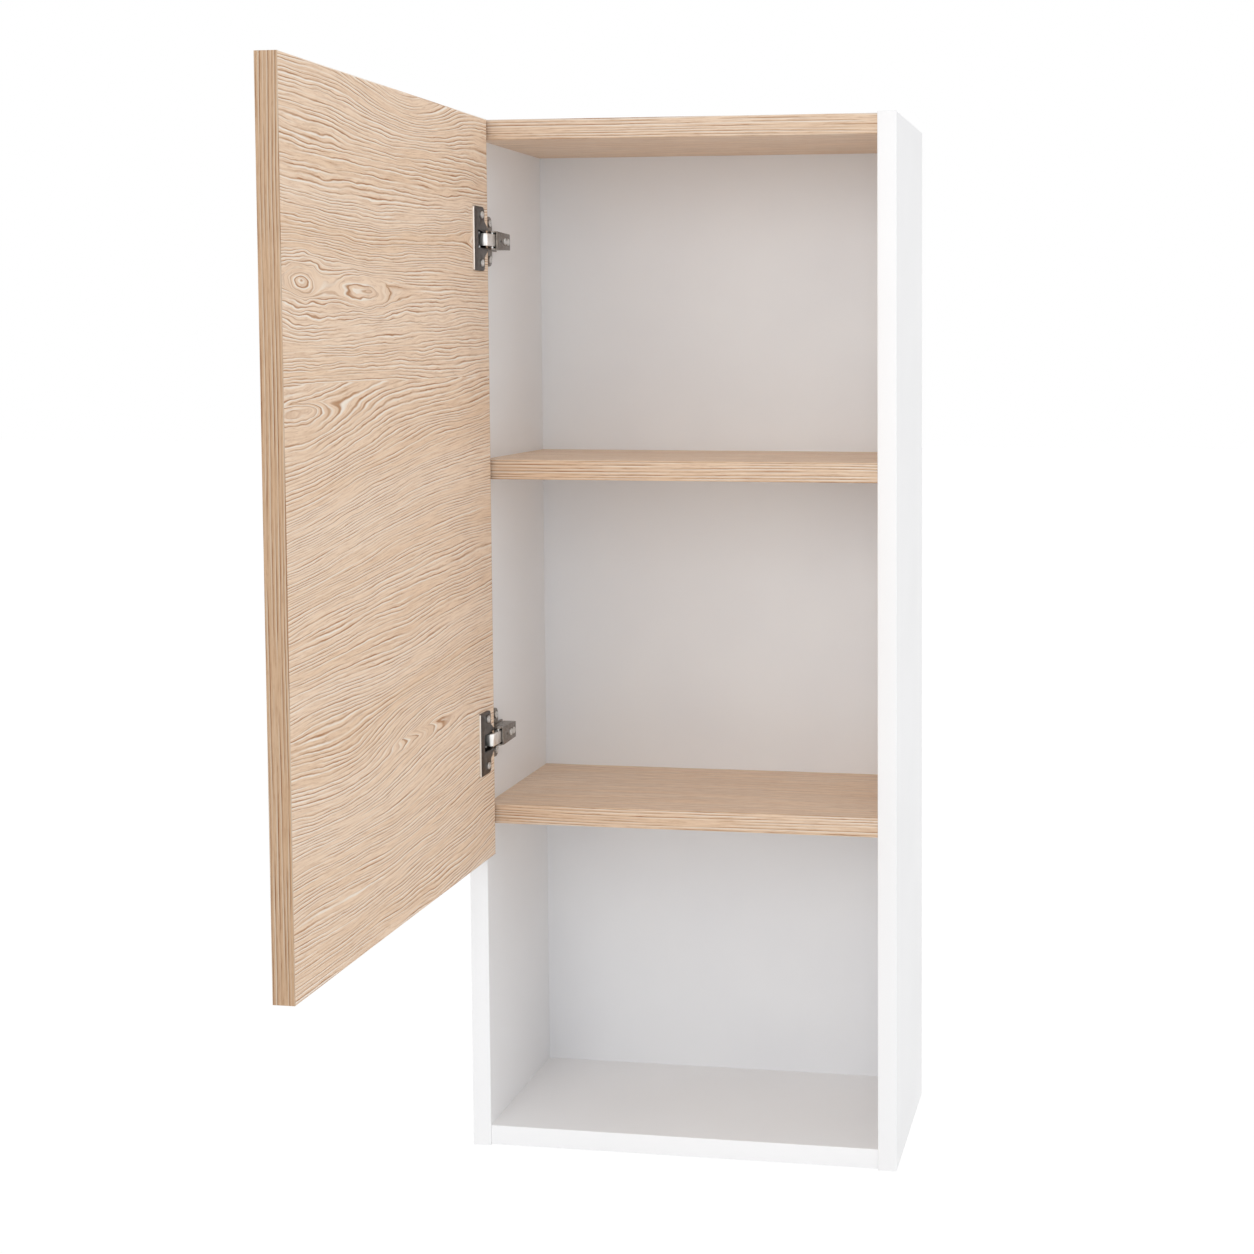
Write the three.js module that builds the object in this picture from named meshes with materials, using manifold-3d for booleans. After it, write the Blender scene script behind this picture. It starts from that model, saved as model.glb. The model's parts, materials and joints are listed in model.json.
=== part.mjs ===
// Hanging wall cabinet: a white carcass with oak shelves and one oak door, open at rest.
// Millimetres, +X to the right, +Y towards the wall, +Z up. The origin lies on the wall plane,
// midway between the two keyholes, at the height of the wall screws.
import * as THREE from 'three';
import { mergeVertices } from 'three/addons/utils/BufferGeometryUtils.js';
import Module from 'manifold-3d';

const wasm = await Module();
wasm.setup();

// Carcass
const WIDTH = 420;
const HEIGHT = 1000;
const DEPTH = 182;
const SIDE_THICKNESS = 18;
const BOARD_THICKNESS = 19;
const BACK_THICKNESS = 8;
const BACK_REBATE = 6;
const FRONT_SETBACK = 0.8;
const TOP_SETBACK = 1.8;
const BOTTOM_SETBACK = 1.2;
const MIDDLE_SHELF_HEIGHT = 656;
const LOWER_SHELF_HEIGHT = 321;
const FIT = 0.3;

// Dowels
const DOWEL_RADIUS = 4;
const DOWEL_IN_SIDE = 10;
const DOWEL_IN_BOARD = 20;
const DOWEL_FROM_FRONT = 40;
const DOWEL_FROM_REAR = 46;

// Door
const DOOR_THICKNESS = 18;
const DOOR_REVEAL = 2;
const DOOR_GAP = 2.5;
const FINGER_PULL = 29;
const OPEN_PROJECTION = 9.6;
const OPEN_GAP = 3.5;

// Hinges
const HINGE_INSET = 114;
const CUP_RADIUS = 17.5;
const CUP_DEPTH = 12.5;
const CUP_WALL = 1.2;
const CUP_PIN_FROM_RIM = 6.5;
const FLANGE_THICKNESS = 2.2;
const FLANGE_END = 7.5;
const FLANGE_LIP = 0.4;
const FLANGE_FAR = CUP_RADIUS + FLANGE_LIP;
const FLANGE_NEAR = 8;
const FLANGE_BULGE = CUP_RADIUS + FLANGE_LIP;
const FLANGE_CORNER = 2.5;
// The flange bulges round the cup's rim. The bulge begins this far above the rim, and the
// handles of its curve and the height where it is full are shares of the cup's radius.
const BULGE_SHOULDER = 1.8;
const BULGE_HANDLES = [0.86, 0.72];
const BULGE_FULL = 0.38;
const WINDOW_HALF_HEIGHT = 8.6;
const WINDOW_FAR = 8;
const CUP_SCREW_FROM_CUP = 5;
const CUP_SCREW_SPACING = 2 * (CUP_RADIUS + CUP_SCREW_FROM_CUP);
const FLANGE_HEIGHT = CUP_SCREW_SPACING + 2 * FLANGE_END;
const ARM_PIVOT = [11, 4];
const INNER_PIVOT = [6, 16];
const CUP_PIN_DEPTH = 4.644;
const CUP_INNER_PIN = [-2.2, -4.05];
const CUP_PIN_REACH = 7.4;
const CUP_PIN_BRIDGE = 1.2;
const PIN_RADIUS = 1.2;
const CUP_PIN_SLIMMER = 0.1;
const CUP_PIN_BRIDGE_SHARE = 0.9;
const LINK_EYE = 2.6;
const LINK_HALF_HEIGHT = 5.7;
const LINK_WALL = 1.3;
const LINK_RISE = 4.6;
const LINK_CLEAR = 1.8;
const LINK_SHOULDER = 1;
const LINK_CROWN = 3;
const LINK_CORNER = 0.4;
const LINK_TAIL = 5;
const LINK_HEEL = 2;
const LINK_CHAMFER = 3.6;
const INNER_LINK_HALF_HEIGHT = 3.9;
const INNER_LINK_LENGTH = 11;
const INNER_LINK_EYE = 2.4;
const INNER_LINK_EYE_LAP = 0.25;
const INNER_LINK_TIP = 1.6;
const INNER_LINK_LEAN = 0.5;
const ARM_PROJECTION = 15.9;
const ARM_HALF_HEIGHT = 8.8;
const ARM_WALL = 1.3;
const ARM_WEB_START = 4.6;
const ARM_LENGTH = 39;
const ARM_NOSE = 3.8;
const ARM_TAPER = 0.13;
const PLATE_THICKNESS = 2;
const PLATE_HALF_HEIGHT = 24;
const PLATE_FRONT = 12;
const PLATE_WIDTH = 16;
const PLATE_WAIST_HALF_HEIGHT = 9;
const PLATE_WAIST_SETBACK = 2.5;
const PLATE_CORNER = 9;
const PLATE_TAIL = 1;
const BLOCK_FRONT = 21.5;
const BLOCK_HALF_HEIGHT = 5.7;
const SPRING_THICKNESS = 0.5;
const SPRING_HALF_HEIGHT = 3.5;
const SPRING_BEND = 5;
const SPRING_TIP_DROP = 3;
const SPRING_TIP_GAP = 1;
const ARM_WINDOW_RADIUS = 1.5;
const ARM_WINDOW_AT = 15;
const ADJUST_SCREW_AT = 24.6;
const FIXING_SCREW_AT = 32.3;

// Hanger plates on the rear edge of the top panel
const HANGER_INSET = 60;
const HANGER_LENGTH = 50;
const HANGER_HEIGHT = 14;
const HANGER_THICKNESS = 2;
const HANGER_HEAD_SUNK = 1.1;
const HANGER_RECESS = 2.8;
const KEYHOLE_RADIUS = 4;
const KEYHOLE_SLOT_RADIUS = 2.2;
const KEYHOLE_DROP = 2.4;
const KEYHOLE_RISE = 3.6;
const KEYHOLE_POCKET_DEPTH = 11;
const KEYHOLE_POCKET_MARGIN = 3;

// Screws: head radius, head height, shank radius, shank length
const CUP_SCREW = [3.4, 1.4, 1.6, 11];
const PLATE_SCREW = [3.4, 1.6, 1.8, 13];
const ARM_SCREW = [3.3, 1, 1.8, 7];
const HANGER_SCREW = [3, 1, 1.5, 16];
const SCREW_CLEARANCE = 0.3;
const CROSS_DEPTH_SHARE = 0.6;
const CROSS_REACH_SHARE = 0.62;
const CROSS_HALF_WIDTH = 0.4;

// ---------------------------------------------------------------- solids

function solid(geometry) {
  const bare = geometry.index ? geometry.toNonIndexed() : geometry.clone();
  for (const name of Object.keys(bare.attributes)) {
    if (name !== 'position') bare.deleteAttribute(name);
  }
  const merged = mergeVertices(bare, 1e-4);
  return new wasm.Manifold(new wasm.Mesh({
    numProp: 3,
    vertProperties: new Float32Array(merged.attributes.position.array),
    triVerts: new Uint32Array(merged.index.array),
  }));
}

function geometryOf(body) {
  const mesh = body.getMesh();
  const geometry = new THREE.BufferGeometry();
  geometry.setAttribute('position', new THREE.BufferAttribute(new Float32Array(mesh.vertProperties), 3));
  geometry.setIndex(new THREE.BufferAttribute(new Uint32Array(mesh.triVerts), 1));
  geometry.computeVertexNormals();
  return geometry;
}

// Every corner gets its own number, so two blocks that share a plane share it exactly.
function block(x0, x1, y0, y1, z0, z1) {
  const geometry = new THREE.BoxGeometry(2, 2, 2);
  const points = geometry.attributes.position;
  for (let i = 0; i < points.count; i++) {
    points.setXYZ(i,
      points.getX(i) < 0 ? x0 : x1,
      points.getY(i) < 0 ? y0 : y1,
      points.getZ(i) < 0 ? z0 : z1);
  }
  return solid(geometry);
}

// A round bar from one point to another that lies along one of the axes.
function rod(radius, from, to, sides = 16) {
  const start = new THREE.Vector3(...from);
  const end = new THREE.Vector3(...to);
  const direction = end.clone().sub(start);
  const geometry = new THREE.CylinderGeometry(radius, radius, direction.length(), sides);
  geometry.applyQuaternion(new THREE.Quaternion().setFromUnitVectors(
    new THREE.Vector3(0, 1, 0), direction.clone().normalize()));
  const middle = start.add(end).multiplyScalar(0.5);
  geometry.translate(middle.x, middle.y, middle.z);
  return solid(geometry);
}

// A plan outline stood up between two heights, moved by a step in plan.
function upright(shape, z0, z1, curveSegments = 6, step = [0, 0]) {
  const geometry = new THREE.ExtrudeGeometry(shape, {
    depth: z1 - z0, bevelEnabled: false, curveSegments,
  });
  geometry.translate(step[0], step[1], z0);
  return solid(geometry);
}

// An outline drawn on a face (first coordinate along X, second along Z), given thickness along Y.
function facing(shape, y0, y1, curveSegments = 6) {
  const geometry = new THREE.ExtrudeGeometry(shape, {
    depth: y1 - y0, bevelEnabled: false, curveSegments,
  });
  geometry.rotateX(Math.PI / 2);
  geometry.translate(0, y1, 0);
  return solid(geometry);
}

// A screw whose head sits on a face at the origin and whose shank runs down -Y.
function screwBody([headRadius, headHeight, shankRadius, shankLength]) {
  const floor = headHeight * (1 - CROSS_DEPTH_SHARE);
  const arm = headRadius * CROSS_REACH_SHARE;
  const half = CROSS_HALF_WIDTH;
  const head = rod(headRadius, [0, 0, 0], [0, headHeight, 0], 20);
  const shank = rod(shankRadius, [0, -shankLength, 0], [0, headHeight / 2, 0], 12);
  const across = block(-arm, arm, floor, headHeight + 1, -half, half);
  const along = block(-half, half, floor, headHeight + 1, -arm, arm);
  return head.add(shank).subtract(across).subtract(along);
}

// ---------------------------------------------------------------- finishes

const FINISH = {
  white: new THREE.MeshStandardMaterial({ color: 0xf2f2f2, roughness: 0.45, metalness: 0 }),
  back: new THREE.MeshStandardMaterial({ color: 0xe4e5e7, roughness: 0.55, metalness: 0 }),
  oak: new THREE.MeshStandardMaterial({ color: 0xd9b48c, roughness: 0.55, metalness: 0 }),
  nickel: new THREE.MeshStandardMaterial({ color: 0xb9b6b0, roughness: 0.3, metalness: 0.9 }),
  link: new THREE.MeshStandardMaterial({ color: 0xe8e6e2, roughness: 0.2, metalness: 0.9 }),
  steel: new THREE.MeshStandardMaterial({ color: 0xc9c8c5, roughness: 0.3, metalness: 0.9 }),
  beech: new THREE.MeshStandardMaterial({ color: 0xc9a678, roughness: 0.7, metalness: 0 }),
};

const cabinet = new THREE.Group();

function addPiece(parent, name, body, finish) {
  const mesh = new THREE.Mesh(geometryOf(body), FINISH[finish]);
  mesh.name = name;
  parent.add(mesh);
  return mesh;
}

// ---------------------------------------------------------------- heights and planes

const FRONT = -DEPTH;
const SIDE_INNER = WIDTH / 2 - SIDE_THICKNESS;
const BACK_FRONT = -BACK_THICKNESS;
const TOP_UNDERSIDE = HEIGHT - TOP_SETBACK - BOARD_THICKNESS;
const HORIZONTALS = [
  { name: 'top_panel', underside: TOP_UNDERSIDE, rear: 0, finish: 'oak' },
  { name: 'middle_shelf', underside: MIDDLE_SHELF_HEIGHT, rear: BACK_FRONT, finish: 'oak' },
  { name: 'lower_shelf', underside: LOWER_SHELF_HEIGHT, rear: BACK_FRONT, finish: 'oak' },
  { name: 'bottom_panel', underside: BOTTOM_SETBACK, rear: BACK_FRONT, finish: 'white' },
];
const DOWEL_ROWS = [
  { name: 'front', y: FRONT + DOWEL_FROM_FRONT },
  { name: 'rear', y: -DOWEL_FROM_REAR },
];
const TOP_MIDDLE = TOP_UNDERSIDE + BOARD_THICKNESS / 2;
const DOOR_TOP = HEIGHT - TOP_SETBACK;
const DOOR_BOTTOM = LOWER_SHELF_HEIGHT - FINGER_PULL;
const DOOR_WIDTH = WIDTH - 2 * DOOR_REVEAL;
const HINGES = [
  { name: 'upper', z: DOOR_TOP - HINGE_INSET },
  { name: 'lower', z: DOOR_BOTTOM + HINGE_INSET },
];

// ---------------------------------------------------------------- door swing

// The door's hinge edge meets its inner face at one corner. These are that corner's places with
// the door closed and with it square open, measured from the left side's inner front edge.
const CLOSED_CORNER = new THREE.Vector2(DOOR_REVEAL - SIDE_THICKNESS, -DOOR_GAP);
const OPEN_CORNER = new THREE.Vector2(OPEN_PROJECTION, -OPEN_GAP);

// One quarter turn about the pole takes the closed door to the open one.
const POLE = new THREE.Vector2(
  (OPEN_CORNER.x - CLOSED_CORNER.y + OPEN_CORNER.y + CLOSED_CORNER.x) / 2,
  (OPEN_CORNER.y + CLOSED_CORNER.x - OPEN_CORNER.x + CLOSED_CORNER.y) / 2);

// A link from the arm's pivot reaches the cup pin in both positions when the pin sits an eighth
// of a turn to either side of the line from the pole to that pivot.
// Its depth below the open door's face then says how far from the pole it is.
const POLE_TO_ARM = Math.atan2(ARM_PIVOT[1] - POLE.y, ARM_PIVOT[0] - POLE.x);
const LINK_POLE_RADIUS =
  (OPEN_CORNER.x - CUP_PIN_DEPTH - POLE.x) / Math.cos(POLE_TO_ARM - Math.PI / 4);
const CUP_PIN_OPEN = new THREE.Vector2(
  POLE.x + LINK_POLE_RADIUS * Math.cos(POLE_TO_ARM - Math.PI / 4),
  POLE.y + LINK_POLE_RADIUS * Math.sin(POLE_TO_ARM - Math.PI / 4));

// The same pin in the door's own directions: along its width, and out of its inner face.
const CUP_PIN = [OPEN_CORNER.y - CUP_PIN_OPEN.y, CUP_PIN_OPEN.x - OPEN_CORNER.x];
const CUP_PIN_REAR = [CUP_PIN[0] + CUP_INNER_PIN[0], CUP_PIN[1] + CUP_INNER_PIN[1]];

// The cup sits round its pin, so its middle's distance from the door's edge follows the pin.
const CUP_BACKSET = CUP_PIN[0] - CUP_PIN_FROM_RIM + CUP_RADIUS;

// ---------------------------------------------------------------- carcass

// The dowel's own bar, or with a larger radius and a negative shortening the hole that takes it.
function dowelBar(side, board, row, radius, shorten) {
  const z = board.underside + BOARD_THICKNESS / 2;
  return rod(radius,
    [side * (SIDE_INNER + DOWEL_IN_SIDE - shorten), row.y, z],
    [side * (SIDE_INNER - DOWEL_IN_BOARD + shorten), row.y, z], 12);
}

function sidePanel(side) {
  const inner = side * SIDE_INNER;
  const outer = side * WIDTH / 2;
  let body = block(Math.min(inner, outer), Math.max(inner, outer), FRONT, 0, 0, HEIGHT);
  const rebate = side * (SIDE_INNER + BACK_REBATE);
  body = body.subtract(block(
    Math.min(inner, rebate), Math.max(inner, rebate), BACK_FRONT, 1,
    BOTTOM_SETBACK, TOP_UNDERSIDE));
  for (const board of HORIZONTALS) {
    for (const row of DOWEL_ROWS) {
      body = body.subtract(dowelBar(side, board, row, DOWEL_RADIUS + FIT, -FIT));
    }
  }
  if (side < 0) {
    for (const hinge of HINGES) {
      for (const end of [-1, 1]) {
        const [, , shankRadius, shankLength] = PLATE_SCREW;
        const y = FRONT + PLATE_FRONT + PLATE_WIDTH / 2;
        const z = hinge.z + end * plateScrewOffset();
        body = body.subtract(rod(shankRadius + SCREW_CLEARANCE,
          [inner + 1, y, z],
          [inner - shankLength + PLATE_THICKNESS - SCREW_CLEARANCE, y, z], 12));
      }
    }
  }
  return body;
}

function plateScrewOffset() {
  return PLATE_HALF_HEIGHT - 2 * PLATE_SCREW[0];
}

function horizontalBoard(board) {
  let body = block(-SIDE_INNER, SIDE_INNER, FRONT + FRONT_SETBACK, board.rear,
    board.underside, board.underside + BOARD_THICKNESS);
  for (const side of [-1, 1]) {
    for (const row of DOWEL_ROWS) {
      body = body.subtract(dowelBar(side, board, row, DOWEL_RADIUS + FIT, -FIT));
    }
  }
  return body;
}

function hangerRecess(centre) {
  const half = HANGER_HEIGHT / 2 + FIT;
  const reach = HANGER_LENGTH / 2 + FIT;
  const pocket = KEYHOLE_RADIUS + KEYHOLE_POCKET_MARGIN;
  let recess = block(centre - reach, centre + reach, -HANGER_RECESS, 1,
    TOP_MIDDLE - half, TOP_MIDDLE + half);
  recess = recess.add(block(centre - pocket, centre + pocket,
    -HANGER_RECESS - KEYHOLE_POCKET_DEPTH, 0, TOP_MIDDLE - half, TOP_MIDDLE + half));
  for (const end of [-1, 1]) {
    const x = centre + end * hangerScrewOffset();
    recess = recess.add(rod(HANGER_SCREW[2] + SCREW_CLEARANCE, [x, 0, TOP_MIDDLE],
      [x, -HANGER_RECESS - HANGER_SCREW[3], TOP_MIDDLE], 12));
  }
  return recess;
}

function hangerScrewOffset() {
  return HANGER_LENGTH / 2 - HANGER_SCREW[0] - 2;
}

function hangerPlate() {
  const half = HANGER_HEIGHT / 2;
  let body = block(-HANGER_LENGTH / 2, HANGER_LENGTH / 2, -HANGER_RECESS,
    hangerFace(), -half, half);
  body = body.subtract(rod(KEYHOLE_RADIUS, [0, -HANGER_RECESS - 1, -KEYHOLE_DROP],
    [0, 1, -KEYHOLE_DROP], 20));
  body = body.subtract(rod(KEYHOLE_SLOT_RADIUS, [0, -HANGER_RECESS - 1, KEYHOLE_RISE],
    [0, 1, KEYHOLE_RISE], 16));
  body = body.subtract(block(-KEYHOLE_SLOT_RADIUS, KEYHOLE_SLOT_RADIUS,
    -HANGER_RECESS - 1, 1, -KEYHOLE_DROP, KEYHOLE_RISE));
  for (const end of [-1, 1]) {
    const x = end * hangerScrewOffset();
    body = body.subtract(rod(HANGER_SCREW[2] + SCREW_CLEARANCE,
      [x, -HANGER_RECESS - 1, 0], [x, 1, 0], 12));
    body = body.subtract(rod(HANGER_SCREW[0] + SCREW_CLEARANCE,
      [x, hangerFace() - HANGER_HEAD_SUNK, 0], [x, 1, 0], 20));
  }
  return body;
}

function hangerFace() {
  return HANGER_THICKNESS - HANGER_RECESS;
}

function buildCarcass() {
  addPiece(cabinet, 'left_side', sidePanel(-1), 'white');
  addPiece(cabinet, 'right_side', sidePanel(1), 'white');
  for (const board of HORIZONTALS) {
    let body = horizontalBoard(board);
    if (board.name === 'top_panel') {
      for (const side of [-1, 1]) {
        body = body.subtract(hangerRecess(side * (WIDTH / 2 - HANGER_INSET)));
      }
    }
    addPiece(cabinet, board.name, body, board.finish);
    for (const [end, side] of [['left', -1], ['right', 1]]) {
      for (const row of DOWEL_ROWS) {
        addPiece(cabinet, `${board.name}_dowel_${end}_${row.name}`,
          dowelBar(side, board, row, DOWEL_RADIUS, FIT), 'beech');
      }
    }
  }
  const reach = SIDE_INNER + BACK_REBATE - FIT;
  addPiece(cabinet, 'back_panel', block(-reach, reach, BACK_FRONT, 0,
    BOTTOM_SETBACK, TOP_UNDERSIDE), 'back');
  for (const [end, side] of [['left', -1], ['right', 1]]) {
    const place = new THREE.Group();
    place.position.set(side * (WIDTH / 2 - HANGER_INSET), 0, TOP_MIDDLE);
    addPiece(place, `${end}_hanger_plate`, hangerPlate(), 'steel');
    for (const [which, turn] of [['outer', side], ['inner', -side]]) {
      const screw = addPiece(place, `${end}_hanger_screw_${which}`, screwBody(HANGER_SCREW), 'steel');
      screw.position.set(turn * hangerScrewOffset(), hangerFace() - HANGER_HEAD_SUNK, 0);
    }
    cabinet.add(place);
  }
}

// ---------------------------------------------------------------- door and cups

// The door group has X along the door's width from its hinge edge and Y out of its inner face.
function doorPanel() {
  let body = block(0, DOOR_WIDTH, -DOOR_THICKNESS, 0, DOOR_BOTTOM, DOOR_TOP);
  for (const hinge of HINGES) {
    body = body.subtract(rod(CUP_RADIUS + FIT, [CUP_BACKSET, 1, hinge.z],
      [CUP_BACKSET, -CUP_DEPTH - FIT, hinge.z], 32));
    for (const end of [-1, 1]) {
      const z = hinge.z + end * CUP_SCREW_SPACING / 2;
      body = body.subtract(rod(CUP_SCREW[2] + SCREW_CLEARANCE, [CUP_BACKSET, 1, z],
        [CUP_BACKSET, FLANGE_THICKNESS - CUP_SCREW[3] - SCREW_CLEARANCE, z], 12));
    }
  }
  return body;
}

function flangeShape() {
  const top = FLANGE_HEIGHT / 2;
  const near = CUP_BACKSET - FLANGE_NEAR;
  const far = CUP_BACKSET + FLANGE_FAR;
  const bulge = CUP_BACKSET - FLANGE_BULGE;
  const corner = FLANGE_CORNER;
  const begins = Math.sqrt(CUP_RADIUS ** 2 - FLANGE_NEAR ** 2) + BULGE_SHOULDER;
  const full = BULGE_FULL * CUP_RADIUS;
  const [nearHandle, bulgeHandle] = BULGE_HANDLES.map((share) => share * CUP_RADIUS);
  const shape = new THREE.Shape();
  shape.moveTo(far, -top + corner);
  shape.lineTo(far, top - corner);
  shape.quadraticCurveTo(far, top, far - corner, top);
  shape.lineTo(near + 2 * corner, top);
  shape.quadraticCurveTo(near, top, near, top - 2 * corner);
  shape.lineTo(near, begins);
  shape.bezierCurveTo(near, nearHandle, bulge, bulgeHandle, bulge, full);
  shape.lineTo(bulge, -full);
  shape.bezierCurveTo(bulge, -bulgeHandle, near, -nearHandle, near, -begins);
  shape.lineTo(near, -top + 2 * corner);
  shape.quadraticCurveTo(near, -top, near + 2 * corner, -top);
  shape.lineTo(far - corner, -top);
  shape.quadraticCurveTo(far, -top, far, -top + corner);
  return shape;
}

function hingeCup() {
  let body = facing(flangeShape(), 0, FLANGE_THICKNESS, 5);
  body = body.add(rod(CUP_RADIUS, [CUP_BACKSET, -CUP_DEPTH, 0],
    [CUP_BACKSET, FLANGE_THICKNESS / 2, 0], 32));
  body = body.subtract(rod(CUP_RADIUS - CUP_WALL, [CUP_BACKSET, CUP_WALL - CUP_DEPTH, 0],
    [CUP_BACKSET, 0, 0], 32));
  body = body.subtract(block(-1, CUP_BACKSET + WINDOW_FAR, 0, FLANGE_THICKNESS + 1,
    -WINDOW_HALF_HEIGHT, WINDOW_HALF_HEIGHT));
  for (const end of [-1, 1]) {
    const z = end * CUP_SCREW_SPACING / 2;
    body = body.subtract(rod(CUP_SCREW[2] + SCREW_CLEARANCE, [CUP_BACKSET, -1, z],
      [CUP_BACKSET, FLANGE_THICKNESS + 1, z], 12));
  }
  return body;
}

// One bent wire makes both cup pins: two legs and the short bridge under them.
function cupPin() {
  const radius = PIN_RADIUS - CUP_PIN_SLIMMER;
  const reach = CUP_PIN_REACH;
  let body = rod(radius, [...CUP_PIN, -reach], [...CUP_PIN, reach], 12);
  body = body.add(rod(radius, [...CUP_PIN_REAR, -reach], [...CUP_PIN_REAR, reach], 12));
  const along = new THREE.Vector2(CUP_PIN_REAR[0] - CUP_PIN[0], CUP_PIN_REAR[1] - CUP_PIN[1]);
  const across = new THREE.Vector2(-along.y, along.x).normalize()
    .multiplyScalar(radius * CUP_PIN_BRIDGE_SHARE);
  const shape = new THREE.Shape([
    new THREE.Vector2(CUP_PIN[0] + across.x, CUP_PIN[1] + across.y),
    new THREE.Vector2(CUP_PIN_REAR[0] + across.x, CUP_PIN_REAR[1] + across.y),
    new THREE.Vector2(CUP_PIN_REAR[0] - across.x, CUP_PIN_REAR[1] - across.y),
    new THREE.Vector2(CUP_PIN[0] - across.x, CUP_PIN[1] - across.y),
  ]);
  return body.add(upright(shape, -reach, CUP_PIN_BRIDGE - reach));
}

function buildDoor() {
  const door = new THREE.Group();
  door.position.set(-SIDE_INNER + OPEN_CORNER.x, FRONT + OPEN_CORNER.y, 0);
  door.rotation.z = -Math.PI / 2;
  addPiece(door, 'door_panel', doorPanel(), 'oak');
  for (const hinge of HINGES) {
    const place = new THREE.Group();
    place.position.z = hinge.z;
    addPiece(place, `${hinge.name}_hinge_cup`, hingeCup(), 'nickel');
    addPiece(place, `${hinge.name}_cup_pin`, cupPin(), 'steel');
    for (const [which, end] of [['high', 1], ['low', -1]]) {
      const screw = addPiece(place, `${hinge.name}_cup_screw_${which}`, screwBody(CUP_SCREW), 'steel');
      screw.position.set(CUP_BACKSET, FLANGE_THICKNESS, end * CUP_SCREW_SPACING / 2);
    }
    door.add(place);
  }
  cabinet.add(door);
}

// ---------------------------------------------------------------- links

// The outer link is drawn in the open door's directions and then turned to stand on the arm.
// It rises over the rim of the cup and the door's edge, and dips into the cup to its pin.
function outerLinkShape() {
  const [pinX, pinY] = CUP_PIN;
  const armX = OPEN_CORNER.y - ARM_PIVOT[1];
  const armY = ARM_PIVOT[0] - OPEN_CORNER.x;
  const shape = new THREE.Shape();
  shape.moveTo(armX - LINK_EYE, armY);
  shape.quadraticCurveTo(armX - LINK_EYE, LINK_RISE - LINK_SHOULDER, armX, LINK_RISE);
  shape.lineTo(pinX - LINK_CROWN, LINK_RISE);
  shape.quadraticCurveTo(pinX + LINK_EYE - LINK_CORNER, LINK_RISE,
    pinX + LINK_EYE, pinY + LINK_TAIL);
  shape.lineTo(pinX + LINK_EYE, pinY);
  shape.absarc(pinX, pinY, LINK_EYE, 0, -Math.PI, true);
  shape.lineTo(pinX - LINK_EYE, pinY + LINK_HEEL);
  shape.lineTo(pinX - LINK_CHAMFER, LINK_CLEAR);
  shape.lineTo(armX + LINK_TAIL, LINK_CLEAR);
  shape.quadraticCurveTo(armX + LINK_EYE, LINK_CLEAR - LINK_CORNER, armX + LINK_EYE, armY);
  shape.absarc(armX, armY, LINK_EYE, 0, -Math.PI, true);
  return shape;
}

function outerLink() {
  const armX = OPEN_CORNER.y - ARM_PIVOT[1];
  const armY = ARM_PIVOT[0] - OPEN_CORNER.x;
  const inside = LINK_HALF_HEIGHT - LINK_WALL;
  let body = upright(outerLinkShape(), -LINK_HALF_HEIGHT, LINK_HALF_HEIGHT, 5);
  body = body.subtract(upright(outerLinkShape(), -inside, inside, 5, [-LINK_WALL, -LINK_WALL]));
  for (const [x, y] of [CUP_PIN, [armX, armY]]) {
    body = body.subtract(rod(PIN_RADIUS + FIT,
      [x, y, -ARM_HALF_HEIGHT], [x, y, ARM_HALF_HEIGHT], 16));
  }
  return body;
}

function innerLink() {
  const tip = INNER_LINK_TIP;
  const lap = INNER_LINK_EYE_LAP;
  const lean = INNER_LINK_LEAN;
  const shape = new THREE.Shape();
  shape.absarc(0, 0, INNER_LINK_EYE, -lap, Math.PI + lap);
  shape.lineTo(-tip - lean, tip - INNER_LINK_LENGTH);
  shape.absarc(-lean, tip - INNER_LINK_LENGTH, tip, Math.PI, 2 * Math.PI);
  shape.closePath();
  const body = upright(shape, -INNER_LINK_HALF_HEIGHT, INNER_LINK_HALF_HEIGHT, 6);
  const bore = PIN_RADIUS + FIT;
  return body.subtract(rod(bore, [0, 0, -ARM_HALF_HEIGHT], [0, 0, ARM_HALF_HEIGHT], 16));
}

// ---------------------------------------------------------------- arm and mounting plate

// The arm gets lower towards its tail.
function taper(geometry) {
  const points = geometry.attributes.position;
  for (let i = 0; i < points.count; i++) {
    const along = THREE.MathUtils.clamp(
      (points.getY(i) - ARM_WEB_START) / (ARM_LENGTH - ARM_WEB_START), 0, 1);
    points.setZ(i, points.getZ(i) * (1 - ARM_TAPER * along));
  }
  geometry.computeVertexNormals();
}

function armShape() {
  const foot = PLATE_THICKNESS + FIT;
  const [x, y] = ARM_PIVOT;
  const shape = new THREE.Shape();
  shape.moveTo(x - ARM_NOSE, y + 1);
  shape.absarc(x, y, ARM_NOSE, Math.PI, 2 * Math.PI);
  shape.lineTo(ARM_PROJECTION, ARM_WEB_START);
  shape.lineTo(ARM_PROJECTION, ARM_LENGTH);
  shape.lineTo(foot, ARM_LENGTH);
  shape.lineTo(foot, PLATE_FRONT);
  shape.closePath();
  return shape;
}

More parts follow.
